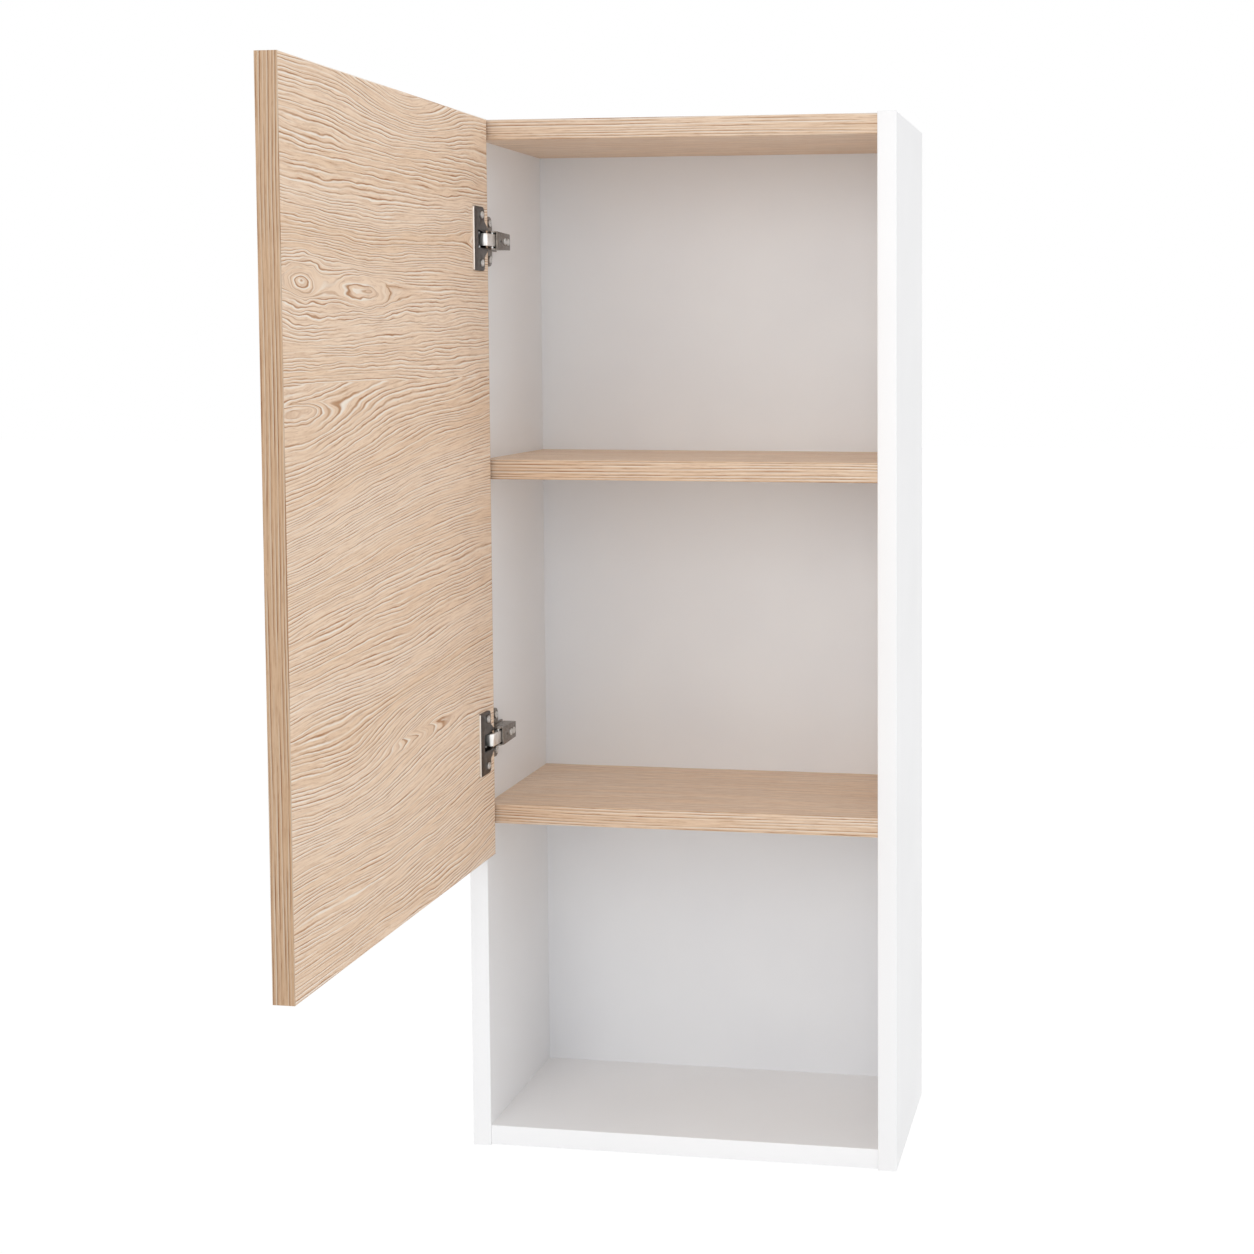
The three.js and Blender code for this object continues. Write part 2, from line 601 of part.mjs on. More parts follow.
function hingeArm() {
  const inside = ARM_HALF_HEIGHT - ARM_WALL;
  let body = upright(armShape(), -ARM_HALF_HEIGHT, ARM_HALF_HEIGHT, 6);
  body = body.subtract(block(-1, ARM_PROJECTION - ARM_WALL, -1, ARM_LENGTH + 1, -inside, inside));
  body = body.subtract(block(-1, ARM_PROJECTION + 1, -1, ARM_WEB_START, -inside, inside));
  for (const [x, y] of [ARM_PIVOT, INNER_PIVOT]) {
    const beyond = ARM_HALF_HEIGHT + 1;
    body = body.subtract(rod(PIN_RADIUS + FIT, [x, y, -beyond], [x, y, beyond], 16));
  }
  for (const y of [ADJUST_SCREW_AT, FIXING_SCREW_AT]) {
    body = body.subtract(rod(ARM_SCREW[2] + SCREW_CLEARANCE,
      [ARM_PROJECTION - ARM_WALL - 1, y, 0], [ARM_PROJECTION + 1, y, 0], 16));
  }
  body = body.subtract(rod(ARM_WINDOW_RADIUS, [ARM_PROJECTION - ARM_WALL - 1, ARM_WINDOW_AT, 0],
    [ARM_PROJECTION + 1, ARM_WINDOW_AT, 0], 16));
  return body;
}

function mountingPlateWing() {
  const tip = PLATE_HALF_HEIGHT;
  const curve = PLATE_HALF_HEIGHT - PLATE_CORNER;
  const waist = PLATE_WAIST_HALF_HEIGHT;
  const front = PLATE_FRONT;
  const middle = PLATE_FRONT + PLATE_WIDTH / 2;
  const rear = PLATE_FRONT + PLATE_WIDTH;
  const tail = ARM_LENGTH + PLATE_TAIL;
  const shape = new THREE.Shape();
  shape.moveTo(middle, -tip);
  shape.quadraticCurveTo(front, -tip, front, -curve);
  shape.lineTo(front + PLATE_WAIST_SETBACK, -waist);
  shape.lineTo(front + PLATE_WAIST_SETBACK, waist);
  shape.lineTo(front, curve);
  shape.quadraticCurveTo(front, tip, middle, tip);
  shape.quadraticCurveTo(rear, tip, rear, curve);
  shape.lineTo(rear, waist);
  shape.lineTo(tail, waist);
  shape.lineTo(tail, -waist);
  shape.lineTo(rear, -waist);
  shape.lineTo(rear, -curve);
  shape.quadraticCurveTo(rear, -tip, middle, -tip);
  return shape;
}

function mountingPlate() {
  const geometry = new THREE.ExtrudeGeometry(mountingPlateWing(), {
    depth: PLATE_THICKNESS, bevelEnabled: false, curveSegments: 5,
  });
  // The outline's first coordinate runs along Y, its second along Z, and its thickness along X.
  geometry.applyMatrix4(new THREE.Matrix4().makeBasis(
    new THREE.Vector3(0, 1, 0), new THREE.Vector3(0, 0, 1), new THREE.Vector3(1, 0, 0)));
  let body = solid(geometry);
  const top = ARM_PROJECTION - ARM_WALL - FIT;
  body = body.add(block(PLATE_THICKNESS / 2, top, BLOCK_FRONT, ARM_LENGTH - PLATE_TAIL,
    -BLOCK_HALF_HEIGHT, BLOCK_HALF_HEIGHT));
  for (const y of [ADJUST_SCREW_AT, FIXING_SCREW_AT]) {
    body = body.subtract(rod(ARM_SCREW[2] + SCREW_CLEARANCE, [top + 1, y, 0],
      [ARM_PROJECTION - ARM_SCREW[3] - SCREW_CLEARANCE, y, 0], 12));
  }
  for (const end of [-1, 1]) {
    const z = end * plateScrewOffset();
    const y = PLATE_FRONT + PLATE_WIDTH / 2;
    body = body.subtract(rod(PLATE_SCREW[2] + SCREW_CLEARANCE, [-1, y, z],
      [PLATE_THICKNESS + 1, y, z], 12));
  }
  return body;
}

// A leaf that lies under the arm's web and bends down behind the outer link's eye.
function closingSpring() {
  const outer = ARM_PROJECTION - ARM_WALL - FIT;
  const inner = outer - SPRING_THICKNESS;
  const [x, y] = ARM_PIVOT;
  const root = BLOCK_FRONT - SPRING_TIP_GAP;
  const tip = y + LINK_EYE + SPRING_TIP_GAP;
  const end = x - SPRING_TIP_DROP;
  const shape = new THREE.Shape();
  shape.moveTo(outer, root);
  shape.lineTo(inner, root);
  shape.lineTo(inner, tip + SPRING_BEND);
  shape.quadraticCurveTo(inner, tip, end, tip);
  shape.lineTo(end, tip - SPRING_THICKNESS);
  shape.quadraticCurveTo(outer, tip - SPRING_THICKNESS, outer, tip + SPRING_BEND);
  shape.closePath();
  return upright(shape, -SPRING_HALF_HEIGHT, SPRING_HALF_HEIGHT, 6);
}

// A screw driven along -X into the side panel or the mounting block.
function placeSidewaysScrew(parent, name, size, x, y, z) {
  const screw = addPiece(parent, name, screwBody(size), 'steel');
  screw.rotation.z = -Math.PI / 2;
  screw.position.set(x, y, z);
}

function buildHinge(hinge) {
  const place = new THREE.Group();
  place.position.set(-SIDE_INNER, FRONT, hinge.z);
  const arm = addPiece(place, `${hinge.name}_hinge_arm`, hingeArm(), 'nickel');
  taper(arm.geometry);
  addPiece(place, `${hinge.name}_mounting_plate`, mountingPlate(), 'nickel');
  addPiece(place, `${hinge.name}_closing_spring`, closingSpring(), 'steel');

  const link = addPiece(place, `${hinge.name}_outer_link`, outerLink(), 'link');
  link.rotation.z = -Math.PI / 2;
  link.position.set(OPEN_CORNER.x, OPEN_CORNER.y, 0);

  const inner = addPiece(place, `${hinge.name}_inner_link`, innerLink(), 'steel');
  inner.position.set(...INNER_PIVOT, 0);

  const frontReach = ARM_HALF_HEIGHT;
  const frontPin = rod(PIN_RADIUS, [...ARM_PIVOT, -frontReach], [...ARM_PIVOT, frontReach], 12);
  addPiece(place, `${hinge.name}_arm_front_pin`, frontPin, 'steel');
  const rearReach = ARM_HALF_HEIGHT - ARM_WALL / 2;
  const rearPin = rod(PIN_RADIUS, [...INNER_PIVOT, -rearReach], [...INNER_PIVOT, rearReach], 12);
  addPiece(place, `${hinge.name}_arm_rear_pin`, rearPin, 'steel');

  placeSidewaysScrew(place, `${hinge.name}_adjusting_screw`, ARM_SCREW,
    ARM_PROJECTION, ADJUST_SCREW_AT, 0);
  placeSidewaysScrew(place, `${hinge.name}_fixing_screw`, ARM_SCREW,
    ARM_PROJECTION, FIXING_SCREW_AT, 0);
  for (const [which, end] of [['high', 1], ['low', -1]]) {
    placeSidewaysScrew(place, `${hinge.name}_plate_screw_${which}`, PLATE_SCREW,
      PLATE_THICKNESS, PLATE_FRONT + PLATE_WIDTH / 2, end * plateScrewOffset());
  }
  cabinet.add(place);
}

buildCarcass();
buildDoor();
HINGES.forEach(buildHinge);
cabinet.position.z = -(TOP_MIDDLE + KEYHOLE_RISE);

const part = new THREE.Group();
part.add(cabinet);
part.updateMatrixWorld(true);

export default part;
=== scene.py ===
# %% [markdown]
# A narrow wall cabinet: white laminated boards, an oak veneered top, two oak shelves and one
# oak door that hangs on two concealed hinges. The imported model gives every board, screw and
# pin its exact place. This script gives them their finish: edge bands, softened edges, grain,
# plated metal, and the light of a plain studio.

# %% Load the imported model
import bmesh
import bpy
import json
import math
from mathutils import Matrix, Vector


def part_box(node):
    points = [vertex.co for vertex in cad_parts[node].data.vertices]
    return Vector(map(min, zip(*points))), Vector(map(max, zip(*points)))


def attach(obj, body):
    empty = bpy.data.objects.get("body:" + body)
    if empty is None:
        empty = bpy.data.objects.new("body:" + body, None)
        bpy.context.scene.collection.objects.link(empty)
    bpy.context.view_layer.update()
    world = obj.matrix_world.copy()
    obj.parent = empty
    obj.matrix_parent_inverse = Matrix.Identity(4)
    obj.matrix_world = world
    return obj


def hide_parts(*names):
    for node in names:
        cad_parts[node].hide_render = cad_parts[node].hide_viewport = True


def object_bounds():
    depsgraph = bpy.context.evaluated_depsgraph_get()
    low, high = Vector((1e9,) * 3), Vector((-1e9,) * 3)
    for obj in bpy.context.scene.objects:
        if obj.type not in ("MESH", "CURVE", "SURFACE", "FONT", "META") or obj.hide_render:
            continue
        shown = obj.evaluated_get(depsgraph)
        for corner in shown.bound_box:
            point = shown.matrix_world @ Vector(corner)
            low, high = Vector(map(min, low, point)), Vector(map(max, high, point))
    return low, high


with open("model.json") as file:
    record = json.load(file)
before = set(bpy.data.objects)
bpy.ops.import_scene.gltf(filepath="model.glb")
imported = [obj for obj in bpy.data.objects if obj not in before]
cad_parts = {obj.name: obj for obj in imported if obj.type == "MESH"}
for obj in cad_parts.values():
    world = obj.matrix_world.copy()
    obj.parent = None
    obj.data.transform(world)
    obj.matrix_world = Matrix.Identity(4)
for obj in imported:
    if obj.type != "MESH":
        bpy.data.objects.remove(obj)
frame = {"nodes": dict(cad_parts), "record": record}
CAD_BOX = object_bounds()
NODES = frame["nodes"]
BODY_OF = {node: body for body, members in frame["record"]["behaviour"]["bodies"].items()
           for node in members}
MM = 0.001
print(len(NODES), "nodes, box", [[round(v, 4) for v in corner] for corner in CAD_BOX])

# %% [markdown]
# Small helpers for shader nodes. A material could be wired by hand line by line, but most
# finishes here need the same few steps: add a node, fill in its sockets, join it to another.
# A helper that does all three keeps every recipe short enough to read.


# %% Helpers for shader nodes
def add_node(tree, kind, settings=None, inputs=None):
    """Adds a node, sets its properties, and fills or links its input sockets."""
    node = tree.nodes.new(kind)
    for name, value in (settings or {}).items():
        setattr(node, name, value)
    for name, value in (inputs or {}).items():
        if isinstance(value, bpy.types.NodeSocket):
            tree.links.new(value, node.inputs[name])
        else:
            node.inputs[name].default_value = value
    return node


def math_node(tree, operation, first, second=0.0, clamp=False):
    node = add_node(tree, "ShaderNodeMath", {"operation": operation, "use_clamp": clamp},
                    {0: first, 1: second})
    return node.outputs[0]


def scaled_vector(tree, vector, scale):
    node = add_node(tree, "ShaderNodeVectorMath", {"operation": "MULTIPLY"},
                    {0: vector, 1: scale})
    return node.outputs[0]


def noise(tree, vector, scale=1.0, detail=2.0, roughness=0.5):
    return add_node(tree, "ShaderNodeTexNoise", None,
                    {"Vector": vector, "Scale": scale, "Detail": detail,
                     "Roughness": roughness}).outputs["Fac"]


def remap(tree, value, low, high, to_low=0.0, to_high=1.0):
    return add_node(tree, "ShaderNodeMapRange", {"clamp": True},
                    {"Value": value, "From Min": low, "From Max": high,
                     "To Min": to_low, "To Max": to_high}).outputs["Result"]


def mixed_colour(tree, factor, first, second):
    """Mixes two colours. The mix node keeps its colour sockets at 6 and 7, and 2."""
    node = tree.nodes.new("ShaderNodeMix")
    node.data_type = "RGBA"
    for socket, value in ((node.inputs[0], factor), (node.inputs[6], first),
                          (node.inputs[7], second)):
        if isinstance(value, bpy.types.NodeSocket):
            tree.links.new(value, socket)
        else:
            socket.default_value = value
    return node.outputs[2]


def new_group(name, inputs, outputs):
    """An empty node group with named sockets, and its own input and output nodes."""
    group = bpy.data.node_groups.new(name, "ShaderNodeTree")
    for label, kind, value in inputs:
        socket = group.interface.new_socket(label, in_out="INPUT", socket_type=kind)
        if value is not None:
            socket.default_value = value
    for label, kind in outputs:
        group.interface.new_socket(label, in_out="OUTPUT", socket_type=kind)
    return group, group.nodes.new("NodeGroupInput"), group.nodes.new("NodeGroupOutput")


def srgb(red, green, blue):
    """A colour written as 0 to 255, turned into the linear numbers that a shader wants."""
    def linear(value):
        share = value / 255
        return share / 12.92 if share <= 0.04045 else ((share + 0.055) / 1.055) ** 2.4
    return (linear(red), linear(green), linear(blue), 1.0)


# Nearly all of a noise's values lie between these two.
NOISE_SPREAD = (0.3, 0.7)
print("a grey of 128 is", round(srgb(128, 128, 128)[0], 3), "to a shader")

# %% [markdown]
# A knot bends the grain round it, as a post bends a stream. The flow of water round a post
# has a simple formula, and the same formula says how far the grain is pushed aside: strongly
# beside the knot, hardly at all a hand's width away. Inside the knot the lines are rings, so
# there the height across the board gives way to the distance from the middle.


# %% Group: how a knot pushes the grain aside
RAGGED_SCALE = (22.0, 60.0, 0.0)
SMALLEST_SHARE = 0.5


def make_knot_group():
    group, given, result = new_group(
        "knot_push",
        [("Vector", "NodeSocketVector", None), ("Centre", "NodeSocketVector", None),
         ("Radius", "NodeSocketFloat", 0.02), ("Stretch", "NodeSocketFloat", 2.5)],
        [("Push", "NodeSocketFloat")])
    away = add_node(group, "ShaderNodeVectorMath", {"operation": "SUBTRACT"},
                    {0: given.outputs["Vector"], 1: given.outputs["Centre"]}).outputs[0]
    ragged = noise(group, scaled_vector(group, given.outputs["Vector"], RAGGED_SCALE))
    part = add_node(group, "ShaderNodeSeparateXYZ", None, {0: away})
    across = part.outputs["Y"]
    along = math_node(group, "DIVIDE", part.outputs["X"], given.outputs["Stretch"])
    distance = math_node(group, "SQRT", math_node(
        group, "ADD", math_node(group, "MULTIPLY", along, along),
        math_node(group, "MULTIPLY", across, across)))
    radius = math_node(group, "MULTIPLY", given.outputs["Radius"],
                       math_node(group, "ADD", ragged, SMALLEST_SHARE))
    share = math_node(group, "DIVIDE", radius, math_node(group, "MAXIMUM", distance, radius))
    parted = math_node(group, "MULTIPLY", across, math_node(group, "MULTIPLY", share, share))
    rings = math_node(group, "MAXIMUM", math_node(group, "SUBTRACT", radius, distance), 0.0)
    group.links.new(math_node(group, "SUBTRACT", rings, parted), result.inputs["Push"])
    return group


KNOT_PUSH = make_knot_group()
print("group", KNOT_PUSH.name, "nodes", len(KNOT_PUSH.nodes))

# %% [markdown]
# A gentler bend comes from a swell in the log: the lines climb over it and settle again.
# A bell curve gives that, with a reach of its own along and across the grain.


# %% Group: a swell in the grain
def make_swell_group():
    group, given, result = new_group(
        "grain_swell",
        [("Vector", "NodeSocketVector", None), ("Centre", "NodeSocketVector", None),
         ("Reach", "NodeSocketVector", None), ("Amount", "NodeSocketFloat", 0.02)],
        [("Push", "NodeSocketFloat")])
    away = add_node(group, "ShaderNodeVectorMath", {"operation": "SUBTRACT"},
                    {0: given.outputs["Vector"], 1: given.outputs["Centre"]}).outputs[0]
    shares = add_node(group, "ShaderNodeVectorMath", {"operation": "DIVIDE"},
                      {0: away, 1: given.outputs["Reach"]}).outputs[0]
    squared = add_node(group, "ShaderNodeVectorMath", {"operation": "DOT_PRODUCT"},
                       {0: shares, 1: shares}).outputs["Value"]
    bell = math_node(group, "EXPONENT", math_node(group, "MULTIPLY", squared, -1.0))
    group.links.new(math_node(group, "MULTIPLY", bell, given.outputs["Amount"]),
                    result.inputs["Push"])
    return group


SWELL = make_swell_group()
print("group", SWELL.name, "nodes", len(SWELL.nodes))

# %% [markdown]
# Oak veneer is a thin slice of wood. Its look has several scales: wide bands of warmer and
# paler wood, the growth lines a few millimetres apart that wander gently, and pores, which
# are short dark dashes finer than a hair. A brushed veneer also has each soft line sunk a
# little, with a ridge beside it that the bump raises; that ridge is also painted paler in
# colour, a painted highlight. The growth lines are level lines of one height field, drawn
# with a sine. Its spacing is upset by noise, because a plain wave would be too even, and its
# strength comes and goes along the grain.

# %% Sizes of the oak grain
# A scale is how often a noise repeats in a metre: along the grain, across it and through it.
BAND_SCALE = (1.5, 30.0, 3.0)
UNEVEN_SCALE = (2.0, 85.0, 4.0)
STRENGTH_SCALE = (13.0, 210.0, 10.0)
FIBRE_SCALE = (45.0, 820.0, 40.0)
PORE_SCALE = (110.0, 1500.0, 90.0)
# How a line wanders, from fine to broad: a scale, and how far in metres.
WANDERS = [((60.0, 150.0, 60.0), 0.0011), ((13.0, 42.0, 20.0), 0.0060),
           ((2.2, 8.0, 4.0), 0.060)]
UNEVEN_TURNS = 1.9
RIDGE_AND_HIGHLIGHT_LEAD = 0.27
OAK_PITCH = 0.0031
# Between which values a pattern goes from nothing to full.
BAND_SPREAD = (0.35, 0.65)
STRENGTH_SPREAD = (0.34, 0.58)
FIBRE_SPREAD = (0.42, 0.66)
PORE_SPREAD = (0.60, 0.70)
GROOVE_SPREAD = (0.15, 0.95)
RIDGE_AND_HIGHLIGHT_SPREAD = (0.20, 0.95)
# How strongly each pattern shows.
GROOVE_SHARE = 0.72
FIBRE_SHARE = 0.26
PORE_SHARE = 0.22
# How strongly the painted highlight beside each growth line shows.
PAINTED_HIGHLIGHT_SHARE = 0.72
OAK_ROUGHNESS = 0.46
DARK_ROUGHER = 0.16
print("growth lines", round(OAK_PITCH / MM, 1), "mm apart")


# %% Group: oak grain
# One colour input of the oak group is a painted highlight for the ridge beside each growth
# line.
def make_oak_group():
    group, given, result = new_group(
        "oak_grain",
        [("Vector", "NodeSocketVector", None), ("Push", "NodeSocketFloat", 0.0),
         ("Wander", "NodeSocketFloat", 1.0), ("Pitch", "NodeSocketFloat", OAK_PITCH),
         ("Light", "NodeSocketColor", (1, 1, 1, 1)), ("Warm", "NodeSocketColor", (1, 1, 1, 1)),
         ("Painted Highlight", "NodeSocketColor", (1, 1, 1, 1)), ("Dark", "NodeSocketColor", (0, 0, 0, 1))],
        [("Color", "NodeSocketColor"), ("Roughness", "NodeSocketFloat"),
         ("Height", "NodeSocketFloat")])
    vector = given.outputs["Vector"]
    part = add_node(group, "ShaderNodeSeparateXYZ", None, {0: vector})

    def wander(scale, reach):
        field = noise(group, scaled_vector(group, vector, scale), detail=1.5)
        return math_node(group, "MULTIPLY", math_node(group, "SUBTRACT", field, 0.5), reach)

    shift = 0.0
    for scale, reach in WANDERS:
        shift = math_node(group, "ADD", wander(scale, reach), shift)
    shift = math_node(group, "MULTIPLY", shift, given.outputs["Wander"])
    across = math_node(group, "ADD", math_node(group, "ADD", part.outputs["Y"], shift),
                       given.outputs["Push"])
    bent = add_node(group, "ShaderNodeCombineXYZ", None,
                    {"X": part.outputs["X"], "Y": across, "Z": part.outputs["Z"]}).outputs[0]

    bands = noise(group, scaled_vector(group, bent, BAND_SCALE), detail=2.0)
    uneven = noise(group, scaled_vector(group, bent, UNEVEN_SCALE), detail=1.0)
    strength = remap(group, noise(group, scaled_vector(group, bent, STRENGTH_SCALE),
                                  detail=1.0), *STRENGTH_SPREAD)
    fibres = noise(group, scaled_vector(group, bent, FIBRE_SCALE), detail=2.0, roughness=0.6)
    pores = noise(group, scaled_vector(group, bent, PORE_SCALE), detail=1.0)

    turns = math_node(group, "ADD", math_node(group, "DIVIDE", across, given.outputs["Pitch"]),
                      math_node(group, "MULTIPLY", uneven, UNEVEN_TURNS))
    wave = math_node(group, "SINE", math_node(group, "MULTIPLY", turns, 2 * math.pi))
    # The wave beside each growth line marks its ridge: the bump raises it, and the colour gets
    # a painted highlight there.
    beside = math_node(group, "SINE", math_node(
        group, "MULTIPLY", math_node(group, "ADD", turns, RIDGE_AND_HIGHLIGHT_LEAD), 2 * math.pi))
    groove = math_node(group, "MULTIPLY", remap(group, wave, *GROOVE_SPREAD), strength)
    ridge_and_highlight = math_node(group, "MULTIPLY", remap(group, beside, *RIDGE_AND_HIGHLIGHT_SPREAD), strength)

    fibre_mask = remap(group, fibres, *FIBRE_SPREAD)
    pore_mask = remap(group, pores, *PORE_SPREAD)
    dark = math_node(group, "ADD", math_node(group, "MULTIPLY", groove, GROOVE_SHARE),
                     math_node(group, "MULTIPLY", fibre_mask, FIBRE_SHARE))
    dark = math_node(group, "ADD", dark, math_node(group, "MULTIPLY", pore_mask, PORE_SHARE),
                     clamp=True)
    base = mixed_colour(group, remap(group, bands, *BAND_SPREAD), given.outputs["Light"],
                        given.outputs["Warm"])
    lined = mixed_colour(group, dark, base, given.outputs["Dark"])
    # Painted highlight: the ridge beside each growth line is mixed towards the palest colour.
    highlighted = mixed_colour(group, math_node(group, "MULTIPLY", ridge_and_highlight, PAINTED_HIGHLIGHT_SHARE), lined,
                          given.outputs["Painted Highlight"])
    group.links.new(highlighted, result.inputs["Color"])
    rougher = math_node(group, "MULTIPLY", dark, DARK_ROUGHER)
    group.links.new(math_node(group, "ADD", rougher, OAK_ROUGHNESS),
                    result.inputs["Roughness"])
    group.links.new(math_node(group, "SUBTRACT", ridge_and_highlight, dark), result.inputs["Height"])
    return group


OAK_GRAIN = make_oak_group()
print("group", OAK_GRAIN.name, "nodes", len(OAK_GRAIN.nodes))

# %% [markdown]
# Painted, laminated and plated surfaces are never perfectly even. One group gives a slow
# mottle and a fine tooth, and each finish takes its own share of both. The fine tooth feeds
# a bump, so that a highlight breaks up a little at its edges.


# %% Group: mottle and tooth
def make_surface_group():
    group, given, result = new_group(
        "mottle_and_tooth",
        [("Vector", "NodeSocketVector", None), ("Mottle Scale", "NodeSocketFloat", 12.0),
         ("Tooth Scale", "NodeSocketFloat", 1800.0)],
        [("Mottle", "NodeSocketFloat"), ("Tooth", "NodeSocketFloat")])
    slow = noise(group, given.outputs["Vector"], given.outputs["Mottle Scale"], detail=3.0)
    fine = noise(group, given.outputs["Vector"], given.outputs["Tooth Scale"], detail=1.0)
    group.links.new(remap(group, slow, *NOISE_SPREAD), result.inputs["Mottle"])
    group.links.new(fine, result.inputs["Tooth"])
    return group


SURFACE = make_surface_group()
print("group", SURFACE.name, "nodes", len(SURFACE.nodes))

# %% [markdown]
# Oak materials. A sheet of veneer has its grain in one direction, and the edge bands have
# theirs along the edge, so one recipe takes the direction in which the grain runs. The
# coordinates are turned so that X always lies along the grain, and each material has its own
# offset, because no two leaves of veneer are alike.

# %% Oak materials
OAK_LIGHT = srgb(246, 221, 196)
OAK_WARM = srgb(240, 211, 182)
# The palest oak colour is a painted highlight on the ridge beside each growth line.
OAK_PAINTED_HIGHLIGHT = srgb(255, 249, 239)
OAK_DARK = srgb(170, 118, 72)
OAK_RELIEF = 0.35
OAK_RELIEF_DEPTH = 0.4 * MM
OAK_SHEEN = 0.35
UNTINTED = (1.0, 1.0, 1.0)


def group_node(tree, group, inputs):
    return add_node(tree, "ShaderNodeGroup", {"node_tree": group}, inputs)


def new_material(name):
    material = bpy.data.materials.new(name)
    material.use_nodes = True
    tree = material.node_tree
    return material, tree, tree.nodes["Principled BSDF"]


def tinted(colour, tint):
    return (*(channel * share for channel, share in zip(colour, tint)), 1.0)


def grain_vector(tree, order, offset):
    """Object coordinates in the order along, across, through, moved by an offset."""
    place = add_node(tree, "ShaderNodeTexCoord").outputs["Object"]
    part = add_node(tree, "ShaderNodeSeparateXYZ", None, {0: place})
    turned = add_node(tree, "ShaderNodeCombineXYZ", None,
                      {label: part.outputs[axis] for label, axis in zip("XYZ", order)})
    moved = add_node(tree, "ShaderNodeMapping", {"vector_type": "POINT"},
                     {"Vector": turned.outputs[0], "Location": offset})
    return turned.outputs[0], moved.outputs["Vector"]


def finish_oak(tree, shader, oak):
    bump = add_node(tree, "ShaderNodeBump", None,
                    {"Strength": OAK_RELIEF, "Distance": OAK_RELIEF_DEPTH,
                     "Height": oak.outputs["Height"]})
    tree.links.new(oak.outputs["Color"], shader.inputs["Base Color"])
    tree.links.new(oak.outputs["Roughness"], shader.inputs["Roughness"])
    tree.links.new(bump.outputs["Normal"], shader.inputs["Normal"])
    shader.inputs["Specular IOR Level"].default_value = OAK_SHEEN


def oak_material(name, order, offset, wander=1.0, pitch=OAK_PITCH, tint=UNTINTED, push=None):
    """An oak finish. push is a function that bends the grain round knots and swells."""
    material, tree, shader = new_material(name)
    plain, vector = grain_vector(tree, order, offset)
    oak = group_node(tree, OAK_GRAIN, {
        "Vector": vector, "Push": push(tree, plain) if push else 0.0, "Wander": wander,
        "Pitch": pitch, "Light": tinted(OAK_LIGHT, tint), "Warm": tinted(OAK_WARM, tint),
        "Painted Highlight": tinted(OAK_PAINTED_HIGHLIGHT, tint), "Dark": tinted(OAK_DARK, tint)})
    finish_oak(tree, shader, oak)
    return material


# %% [markdown]
# The door's face is two leaves of veneer, joined by a seam about a third of the way down.
# The upper leaf has two knots near the free edge, one by the upper hinge, a strong swell at
# its top and a faint one above the seam. The lower leaf has two small knots and two swells,
# the stronger one under the seam, and all its lines are slanted. A knot here is its middle,
# its radius and how many times longer it is along the grain. A swell is its middle, its
# reach along, across and through the grain, and how far it pushes the lines.

# %% The two leaves of the door
DOOR_LOW, DOOR_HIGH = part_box("door_panel")
SEAM_BELOW_TOP = 0.243
LOWER_LEAF_SHIFT = 0.37


def on_door(from_free_edge, below_top):
    """A spot on the door's face as along, across: Y and Z of the part."""
    return Vector((DOOR_LOW.y + from_free_edge, DOOR_HIGH.z - below_top, 0.0))


UPPER_KNOTS = [(on_door(0.032, 0.165), 0.010, 2.6), (on_door(0.146, 0.170), 0.010, 5.0),
               (on_door(0.400, 0.118), 0.010, 3.4)]
UPPER_SWELLS = [(on_door(0.225, 0.0), (0.110, 0.045, 1.0), 0.030),
                (on_door(0.10, 0.215), (0.16, 0.030, 1.0), 0.006)]
LOWER_KNOTS = [(on_door(0.040, 0.262), 0.006, 7.0), (on_door(0.235, 0.552), 0.006, 8.0)]
LOWER_SWELLS = [(on_door(0.0, 0.315), (0.190, 0.080, 1.0), 0.050),
                (on_door(0.10, 0.560), (0.110, 0.050, 1.0), 0.016)]
LOWER_SLANT = 0.035
print("seam at", round(DOOR_HIGH.z - SEAM_BELOW_TOP, 3))


def leaf_push(tree, vector, knots, swells, slant):
    """How far the knots, the swells and the slant of one leaf push its grain aside."""
    part = add_node(tree, "ShaderNodeSeparateXYZ", None, {0: vector})
    push = math_node(tree, "MULTIPLY", part.outputs["X"], -slant)
    for centre, radius, stretch in knots:
        knot = group_node(tree, KNOT_PUSH, {"Vector": vector, "Centre": centre,
                                            "Radius": radius, "Stretch": stretch})
        push = math_node(tree, "ADD", push, knot.outputs["Push"])
    for centre, reach, amount in swells:
        swell = group_node(tree, SWELL, {"Vector": vector, "Centre": centre,
                                         "Reach": reach, "Amount": amount})
        push = math_node(tree, "ADD", push, swell.outputs["Push"])
    return push


def door_push(tree, vector):
    """The upper leaf's push above the seam, and the lower leaf's below it."""
    upper = leaf_push(tree, vector, UPPER_KNOTS, UPPER_SWELLS, 0.0)
    lower = leaf_push(tree, vector, LOWER_KNOTS, LOWER_SWELLS, LOWER_SLANT)
    height = add_node(tree, "ShaderNodeSeparateXYZ", None, {0: vector}).outputs["Y"]
    below = math_node(tree, "LESS_THAN", height, DOOR_HIGH.z - SEAM_BELOW_TOP)
    lower = math_node(tree, "ADD", lower, LOWER_LEAF_SHIFT)
    return math_node(tree, "ADD", math_node(tree, "MULTIPLY", lower, below),
                     math_node(tree, "MULTIPLY", upper,
                               math_node(tree, "SUBTRACT", 1.0, below)))


# %% [markdown]
# Every other oak surface is one leaf. Bands are cut from straight-grained wood, so theirs
# wanders little, and their lines lie closer together. The ones along the boards' fronts are
# a little darker than the faces, and the upright ones on the door are much darker.

